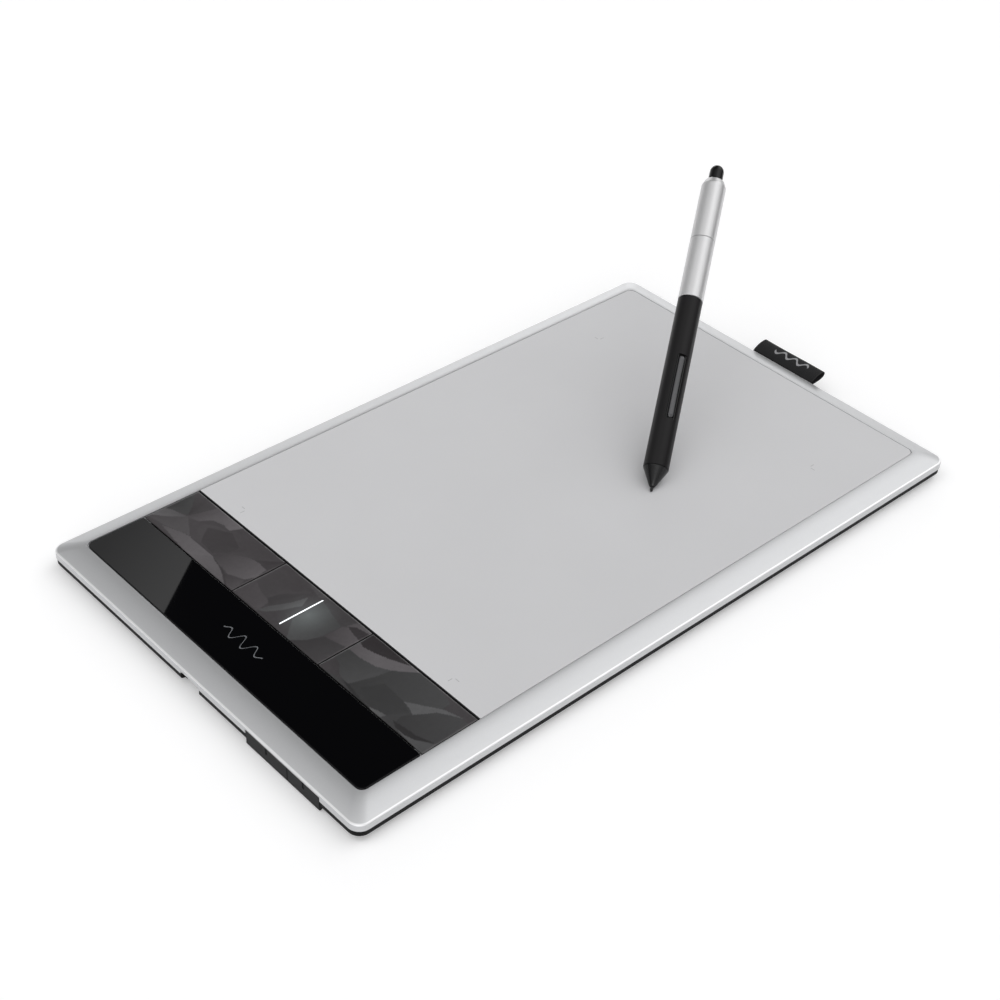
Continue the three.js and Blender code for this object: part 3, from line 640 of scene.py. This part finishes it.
def key_piece(node, y0, y1):
    """cap whose top is folded into broad facets: each is sunk a little from the creases round it"""
    facets = FOLDS[node]
    nx, ny = 72, int((y1 - y0) / 0.386)
    sx, sy = (KX1 - KX0) / nx, (y1 - y0) / ny
    whole = [(KX0, y0), (KX1, y0), (KX1, y1), (KX0, y1)]
    top = {}
    for j in range(ny + 1):
        for i in range(nx + 1):
            x, y = KX0 + sx * i, y0 + sy * j
            wx = x + 0.25 * noise.noise(Vector((x * 0.2, y * 0.2, 1.3)))
            wy = y + 0.25 * noise.noise(Vector((x * 0.2, y * 0.2, 7.7)))
            k = max(k for k, q in enumerate(facets) if q[0] is None or inside(wx, wy, q[0]))
            pts, ta, tb, ia, ib, cool_by = facets[k]
            pts = pts or whole
            # painted light and shade: the facet's level, graded between the levels at its two corners
            t = ta
            if ia != ib:
                dx, dy = pts[ib][0] - pts[ia][0], pts[ib][1] - pts[ia][1]
                g = ((x - pts[ia][0]) * dx + (y - pts[ia][1]) * dy) / (dx * dx + dy * dy)
                t = ta + (tb - ta) * min(max(g, -0.1), 1.1)
            top[i, j] = [k, t, cool_by, 0.0]
    # distance of every point from the nearest crease, in two sweeps
    far = {q: 99.0 for q in top}
    for (i, j), q in top.items():
        if any((i + a, j + b) in top and top[i + a, j + b][0] != q[0] for a, b in ((1, 0), (0, 1), (-1, 0), (0, -1))):
            far[i, j] = 0.0
    for span_j, span_i, near in ((range(ny + 1), range(nx + 1), ((-1, 0), (0, -1), (-1, -1), (1, -1))),
                                 (range(ny, -1, -1), range(nx, -1, -1), ((1, 0), (0, 1), (1, 1), (-1, 1)))):
        for j in span_j:
            for i in span_i:
                for a, b in near:
                    if (i + a, j + b) in far:
                        far[i, j] = min(far[i, j], far[i + a, j + b] + math.hypot(a * sx, b * sy))
    bm = bmesh.new()
    painted_facet_light = bm.verts.layers.float.new("painted_facet_light")
    cool = bm.verts.layers.float.new("cool")
    rows = []
    for j in range(ny + 1):
        row = []
        for i in range(nx + 1):
            x, y = KX0 + sx * i, y0 + sy * j
            k, t, cool_by, _ = top[i, j]
            fold = 0.13 * (1 - math.exp(-far[i, j] / 3.0))
            edge = min(x - KX0, KX1 - x, y - y0, y1 - y)
            drop = 0.12 * max(0.0, 1 - edge / 0.45) ** 2
            v = bm.verts.new(P(x, y, ZT - 0.03 - fold - drop))
            v[painted_facet_light] = min(max(t, 0.0), 1.0)
            v[cool] = cool_by
            row.append(v)
        rows.append(row)
    for j in range(ny):
        for i in range(nx):
            bm.faces.new((rows[j][i], rows[j][i + 1], rows[j + 1][i + 1], rows[j + 1][i]))
    rim = rows[0][:] + [r[-1] for r in rows[1:]] + rows[-1][-2::-1] + [r[0] for r in rows[-2:0:-1]]
    low = []
    for v in rim:
        w = bm.verts.new((v.co.x, v.co.y, 0.01135))
        w[painted_facet_light] = 0.0
        low.append(w)
    for k in range(len(rim)):
        m = (k + 1) % len(rim)
        bm.faces.new((rim[m], rim[k], low[k], low[m]))
    bm.faces.new(low)
    return new_object(node + "_fine", bm, smooth=50)


for node, (y0, y1) in KEYS.items():
    ob = key_piece(node, y0, y1)
    if node == "key_middle":
        boolean(ob, [new_object("c4", box_bm(-121.35 - 11.35, -121.35 + 11.35, 0.27, 1.13, 9, 13))])
        ob.data.shade_smooth()
        ob.data.set_sharp_from_angle(angle=math.radians(50))
    place(ob, node, M["key"], [node])
bar = new_object("light_bar_fine", box_bm(-121.35 - 11.2, -121.35 + 11.2, 0.42, 0.98, 9.9, ZT, 0.22, 4))
place(bar, "tablet", M["light"], ["light_bar"])

# ------------------------------------------------------------------ covers, feet, screws, inner pieces
for n in ("battery_cover", "module_cover"):
    refine(n, n, M["cover"], 0.22, 40, 3)
for i in range(1, 5):
    refine(f"foot_{i}", "tablet", M["rubber"], 0.35, 40, 3)
for i in range(1, 7):
    refine(f"case_screw_{i}", "tablet", M["steel"], 0.08, 40, 2)
for n, slot, mat, w in (
        ("panel_carrier", "inner_plastic", "inner", 0.1), ("key_board", "circuit_board", "black_board", 0.05), ("status_led", "light_guide", "light", 0.1),
        ("touch_sensor_film", "film", "film", 0.0), ("pen_sensor_board", "circuit_board", "board", 0.05), ("shield_plate", "bare_steel", "steel", 0.05),
        ("main_board", "circuit_board", "board", 0.05), ("controller_chip", "chip_plastic", "chip", 0.15), ("shield_can", "bare_steel", "steel", 0.1),
        ("flex_connector", "inner_plastic", "inner", 0.1), ("sensor_flex_cable", "film", "film", 0.0), ("key_flex_cable", "film", "film", 0.0),
        ("usb_socket", "bare_steel", "steel", 0.12), ("usb_tongue", "inner_plastic", "inner", 0.08), ("battery_contact_1", "gold_contact", "gold", 0.12),
        ("battery_contact_2", "gold_contact", "gold", 0.12), ("module_connector", "inner_plastic", "inner", 0.15), ("loop_anchor", "black_shell", "shell", 0.2),
        ("dome_switch_1", "bare_steel", "steel", 0.0), ("dome_switch_2", "bare_steel", "steel", 0.0), ("dome_switch_3", "bare_steel", "steel", 0.0), ("dome_switch_4", "bare_steel", "steel", 0.0)):
    refine(n, "tablet", M[mat], w, 40, 2)


# ------------------------------------------------------------------ ribbon loop
def ribbon():
    ctrl = [(169.3, 6.85), (172.8, 6.85), (176.0, 6.86), (178.6, 7.15), (182.0, 8.3), (184.2, 9.6), (184.98, 10.9), (184.72, 11.95), (183.3, 12.3), (180.6, 11.3), (178.3, 9.55), (176.9, 8.15), (175.8, 7.72), (172.6, 7.65), (169.3, 7.65)]
    pts = []
    for i in range(len(ctrl) - 1):
        p0, p1, p2, p3 = ctrl[max(i - 1, 0)], ctrl[i], ctrl[i + 1], ctrl[min(i + 2, len(ctrl) - 1)]
        for s in range(6):
            t = s / 6
            pts.append(tuple(0.5 * ((2 * p1[k]) + (-p0[k] + p2[k]) * t + (2 * p0[k] - 5 * p1[k] + 4 * p2[k] - p3[k]) * t * t + (-p0[k] + 3 * p1[k] - 3 * p2[k] + p3[k]) * t ** 3) for k in (0, 1)))
    pts.append(ctrl[-1])
    n, cols, th = len(pts), 36, 0.24
    arc = [0.0]
    for a, b in zip(pts, pts[1:]):
        arc.append(arc[-1] + math.dist(a, b))
    bm = bmesh.new()
    uvl = bm.loops.layers.uv.new("UVMap")
    grid = {}
    for side in (1, -1):
        for i, (x, z) in enumerate(pts):
            a, b = pts[max(i - 1, 0)], pts[min(i + 1, n - 1)]
            dx, dz = b[0] - a[0], b[1] - a[1]
            l = math.hypot(dx, dz)
            nx, nz = -dz / l * th * side, dx / l * th * side
            out = min(max((x - 175.5) / 9.0, 0), 1)
            for j in range(cols + 1):
                w = j / cols
                y = -21.9 + 37.5 * w + 2.0 * (1 - out) * (0 if x < 174 else 1) * 0.9
                if x < 174:
                    y = -21.9 + 37.5 * w + 1.8
                wob = 0.10 * math.sin(w * 6.0 + 0.4) * out
                grid[side, i, j] = (bm.verts.new(P(x + nx, y, z + nz + wob)), arc[i], w * 37.5)

    def quad(*ks):
        f = bm.faces.new([grid[k][0] for k in ks])
        for lp, k in zip(f.loops, ks):
            lp[uvl].uv = (grid[k][1], grid[k][2])
    for i in range(n - 1):
        for j in range(cols):
            quad((1, i, j), (1, i + 1, j), (1, i + 1, j + 1), (1, i, j + 1))
            quad((-1, i, j), (-1, i, j + 1), (-1, i + 1, j + 1), (-1, i + 1, j))
        quad((1, i, 0), (-1, i, 0), (-1, i + 1, 0), (1, i + 1, 0))
        quad((1, i, cols), (1, i + 1, cols), (-1, i + 1, cols), (-1, i, cols))
    for j in range(cols):
        quad((1, 0, j), (1, 0, j + 1), (-1, 0, j + 1), (-1, 0, j))
        quad((1, n - 1, j), (-1, n - 1, j), (-1, n - 1, j + 1), (1, n - 1, j + 1))
    ob = new_object("ribbon_loop", bm, smooth=60)
    mid = min((k for k in range(n) if pts[k][1] > 10.95), key=lambda k: abs(pts[k][0] - 181.6))
    place(ob, "tablet", ribbon_material(arc[mid]), ["pen_loop"])
    return arc[-1]


ribbon_length = ribbon()

# ------------------------------------------------------------------ pen
AX = Vector((0.72507, 0.50111, 0.47241)).normalized()
FR = Vector((-0.145989, -0.556744, 0.817763))
SD = AX.cross(FR).normalized()
FR = SD.cross(AX).normalized()
PEN = Matrix.Translation(P(47.2, -34.8, 12.72)) @ Matrix((FR, SD, AX)).transposed().to_4x4()
R = 5.86
B = 5.98


def pen_piece(name, bm, body, mat, nodes=(), smooth=35.0):
    ob = new_object(name, bm, smooth)
    ob.data.transform(PEN)
    return place(ob, body, mat, nodes)


def pen_box(x0, x1, y0, y1, z0, z1, r=0.0, seg=3):
    bm = bmesh.new()
    bmesh.ops.create_cube(bm, size=1)
    for v in bm.verts:
        v.co = Vector((x0 if v.co.x < 0 else x1, y0 if v.co.y < 0 else y1, z0 if v.co.z < 0 else z1)) / 1000
    if r:
        bmesh.ops.bevel(bm, geom=list(bm.edges), offset=r / 1000, segments=seg, profile=0.5, affect="EDGES")
    return bm


pen_piece("nib_fine", lathe_bm([(0, 0.0), (0.2, 0.03), (0.34, 0.12), (0.46, 0.27), (0.56, 0.5), (0.62, 0.75), (0.65, 1.05), (0.65, 33.8), (0, 33.8)], 32), "nib", M["nib"], ["nib"])
pen_piece("pen_nose_fine", lathe_bm([(0.95, 2.5), (1.02, 2.43), (1.1, 2.42), (1.2, 2.5), (1.42, 2.75), (1.56, 2.95), (2.6, 5.0), (3.6, 7.0), (4.6, 9.0), (5.4, 10.6), (5.66, 11.05), (5.72, 11.22), (5.66, 11.32), (4.0, 11.32), (4.0, 10.4), (0.95, 3.7)]),
          "pen", M["nose"], ["pen_nose"])


def grip():
    prof = [(4.55, 11.5), (R - 0.12, 11.5), (R - 0.03, 11.6), (R, 11.85)]
    prof += [(R, 11.85 + (99.5 - 11.85) * k / 24) for k in range(1, 25)]
    prof += [(R - 0.03, 99.7), (R - 0.12, 99.8), (4.55, 99.8)]
    ob = new_object("pen_grip_fine", lathe_bm(prof, 96), 35)
    bm = bmesh.new()
    # window with round ends
    pts = loop(-2.35, 2.35, 34.9, 68.6, 1.1, 10)
    rings = [[bm.verts.new(Vector((x, a, b)) / 1000) for a, b in pts] for x in (3.0, 8.0)]
    n = len(pts)
    for k in range(n):
        bm.faces.new((rings[0][k], rings[0][(k + 1) % n], rings[1][(k + 1) % n], rings[1][k]))
    bm.faces.new(list(reversed(rings[0])))
    bm.faces.new(rings[1])
    boolean(ob, [new_object("c5", bm)])
    soften(ob, 0.16, 50, 2, 35)
    ob.data.transform(PEN)
    place(ob, "pen", M["grip"], ["pen_grip"])


grip()
# glossy surround of the side switch
fr = new_object("pen_switch_frame_fine", pen_box(4.65, 5.2, -2.25, 2.25, 35.15, 68.45, 0.2), 35)
boolean(fr, [new_object("c6", pen_box(4.0, 6.0, -1.5, 1.5, 35.7, 68.2, 0.0))])
fr.data.transform(PEN)
place(fr, "pen", M["pen_gloss"], ["pen_switch_frame"])


def rocker():
    bm = bmesh.new()
    rows = 40
    sec = 9
    rings = []
    for i in range(rows + 1):
        l = 36.2 + 31.7 * i / rows
        t = abs(l - 52.05) / 15.85
        top = 5.46 + 0.26 * (t ** 2) - (0.55 * max(0.0, (t - 0.93) / 0.07) ** 2)
        half = 1.2 - 0.35 * max(0.0, (t - 0.95) / 0.05) ** 2
        ring = [(3.7, -half), (top - 0.35, -half)]
        for k in range(sec + 1):
            a = math.pi * k / sec
            ring.append((top - 0.35 + 0.35 * math.sin(a), -half * math.cos(a)))
        ring += [(top - 0.35, half), (3.7, half)]
        rings.append([bm.verts.new(Vector((x, y, l)) / 1000) for x, y in ring])
    n = len(rings[0])
    for a, b in zip(rings, rings[1:]):
        for k in range(n):
            bm.faces.new((a[k], a[(k + 1) % n], b[(k + 1) % n], b[k]))
    bm.faces.new(list(reversed(rings[0])))
    bm.faces.new(rings[-1])
    bmesh.ops.remove_doubles(bm, verts=bm.verts, dist=1e-7)
    pen_piece("pen_side_switch_fine", bm, "side_switch", M["switch"], ["pen_side_switch"], 40)


rocker()
pen_piece("pen_barrel_fine", lathe_bm([(4.55, 100.02), (B - 0.16, 100.02), (B - 0.05, 100.08), (B, 100.25), (B, 108), (B, 116), (B, 124), (B, 132.75), (B - 0.04, 132.95), (B - 0.13, 133.05), (4.55, 133.05)]), "pen", M["pen_silver"], ["pen_barrel"])
pen_piece("pen_rear_cap_fine", lathe_bm([(4.55, 133.3), (B - 0.13, 133.3), (B - 0.04, 133.4), (B, 133.6), (B, 143), (B, 153), (B, 163.9), (B - 0.03, 164.2), (B - 0.12, 164.5), (B - 0.26, 164.8), (4.85, 166.9), (4.74, 167.15), (4.6, 167.35), (4.35, 167.5), (3.85, 167.5), (3.75, 167.35), (3.75, 166.2), (4.55, 165.2)]), "pen", M["pen_silver"], ["pen_rear_cap"])
pen_piece("pen_eraser_fine", lathe_bm([(0, 152.0), (1.6, 152.0), (1.6, 161), (3.5, 161), (3.5, 167.5), (3.45, 172.0)] + [(3.45 * math.cos(a), 173.0 + 4.0 * math.sin(a)) for a in [math.radians(6 * k) for k in range(0, 15)]] + [(0, 177.0)]), "eraser", M["pen_gloss"], ["pen_eraser"])
for n, slot, mat, w in (("pen_core_tube", "inner_plastic", "inner", 0.1), ("pen_circuit_board", "circuit_board", "board", 0.05), ("pen_tact_switch_1", "inner_plastic", "inner", 0.1),
                        ("pen_tact_switch_2", "inner_plastic", "inner", 0.1), ("pen_ferrite", "ferrite", "ferrite", 0.1), ("pen_coil", "copper_wire", "copper", 0.1),
                        ("pen_pressure_sensor", "inner_plastic", "inner", 0.1), ("pen_eraser_sensor", "inner_plastic", "inner", 0.1)):
    refine(n, "pen", M[mat], w, 40, 2)

# ------------------------------------------------------------------ floor, world and lights
bm = bmesh.new()
bmesh.ops.create_grid(bm, x_segments=1, y_segments=1, size=6)
floor = new_object("floor", bm, 0)
fm = Nodes("floor_white", (0.86, 0.86, 0.865), 0.7)
fm.b.inputs["Specular IOR Level"].default_value = 0.1
fm.b.inputs["Emission Color"].default_value = (1, 1, 1, 1)
fm.b.inputs["Emission Strength"].default_value = 0.25
floor.data.materials.append(fm.m)

world = bpy.data.worlds.new("soft_studio")
scene.world = world
world.use_nodes = True
wt = world.node_tree
bg = wt.nodes["Background"]
co = wt.nodes.new("ShaderNodeTexCoord")


def wmath(op, a, b=None, clamp=False):
    n = wt.nodes.new("ShaderNodeMath")
    n.operation = op
    n.use_clamp = clamp
    for i, v in enumerate((a, b)):
        if v is None:
            continue
        if isinstance(v, (int, float)):
            n.inputs[i].default_value = v
        else:
            wt.links.new(v, n.inputs[i])
    return n.outputs[0]


def toward(d):
    n = wt.nodes.new("ShaderNodeVectorMath")
    n.operation = "DOT_PRODUCT"
    wt.links.new(co.outputs["Generated"], n.inputs[0])
    n.inputs[1].default_value = Vector(d).normalized()
    return n.outputs["Value"]


def ramp(v, a, b, c, d):
    n = wt.nodes.new("ShaderNodeMapRange")
    n.interpolation_type = "SMOOTHSTEP"
    wt.links.new(v, n.inputs["Value"])
    for k, x in zip(("From Min", "From Max", "To Min", "To Max"), (a, b, c, d)):
        n.inputs[k].default_value = x
    return n.outputs["Result"]


# soft boxes round the object, as smooth lobes (direction, radiance), with one unlit patch that the flat gloss panel mirrors
LOBES = [((0.7, 0.7, 0.139), 2.30), ((0.0, 0.99, 0.139), 0.66), ((-0.7, -0.7, 0.139), 3.57), ((0.0, -0.99, 0.139), 0.44),
         ((-0.557, 0.557, 0.616), 0.85), ((-0.788, 0.0, 0.616), 0.49), ((0.0, -0.788, 0.616), 0.13), ((0.557, -0.557, 0.616), 0.57),
         ((0.788, 0.0, 0.616), 1.69), ((-0.393, 0.105, 0.914), 1.65), ((0.105, -0.393, 0.914), 0.89), ((0.393, -0.105, 0.914), 0.98)]
total = None
for direction, level in LOBES:
    lobe = wmath("MULTIPLY", wmath("EXPONENT", wmath("MULTIPLY", wmath("SUBTRACT", toward(direction), 1.0), 14.0)), level)
    total = lobe if total is None else wmath("ADD", total, lobe)
dark = ramp(toward((0.55, 0.56, 0.61)), math.cos(math.radians(17)), math.cos(math.radians(10)), 1.0, 0.02)
wt.links.new(wmath("MULTIPLY", total, dark), bg.inputs["Strength"])
bg.inputs["Color"].default_value = (1.0, 1.0, 1.0, 1)

# card that the gloss panel mirrors: its straight edge runs across the far end of the panel
eye = cam.matrix_world.translation.copy()
mirror_eye = Vector((eye.x, eye.y, 2 * ZT / 1000 - eye.z))
centre = P(-150, 70, ZT)
axis = (centre - mirror_eye).normalized()
card_at = centre + axis * 1.3


def on_card(x, y):
    d = P(x, y, ZT) - mirror_eye
    k = (card_at - mirror_eye).dot(axis) / d.dot(axis)
    return mirror_eye + d * k


bm = bmesh.new()
bm.faces.new([bm.verts.new(on_card(*q)) for q in ((-165.6, 34.4), (-135.6, 56.6), (-134.6, 95), (-170, 95))])
card = new_object("studio_card", bm, 0)
cm = bpy.data.materials.new("card_glow")
cm.use_nodes = True
ct = cm.node_tree
ct.nodes.remove(ct.nodes["Principled BSDF"])
em = ct.nodes.new("ShaderNodeEmission")
# the card falls off away from its straight edge
near, away = on_card(-150, 46), on_card(-150, 92)
fall = ct.nodes.new("ShaderNodeVectorMath")
fall.operation = "DOT_PRODUCT"
ct.links.new(ct.nodes.new("ShaderNodeTexCoord").outputs["Object"], fall.inputs[0])
fall.inputs[1].default_value = (away - near).normalized()
level = ct.nodes.new("ShaderNodeMapRange")
ct.links.new(fall.outputs["Value"], level.inputs["Value"])
for k, x in zip(("From Min", "From Max", "To Min", "To Max"), (near.dot((away - near).normalized()), away.dot((away - near).normalized()), 0.84, 0.46)):
    level.inputs[k].default_value = x
ct.links.new(level.outputs["Result"], em.inputs["Strength"])
ct.links.new(em.outputs[0], ct.nodes["Material Output"].inputs["Surface"])
card.data.materials.append(cm)
card.visible_camera = False
card.visible_diffuse = False
card.visible_shadow = False
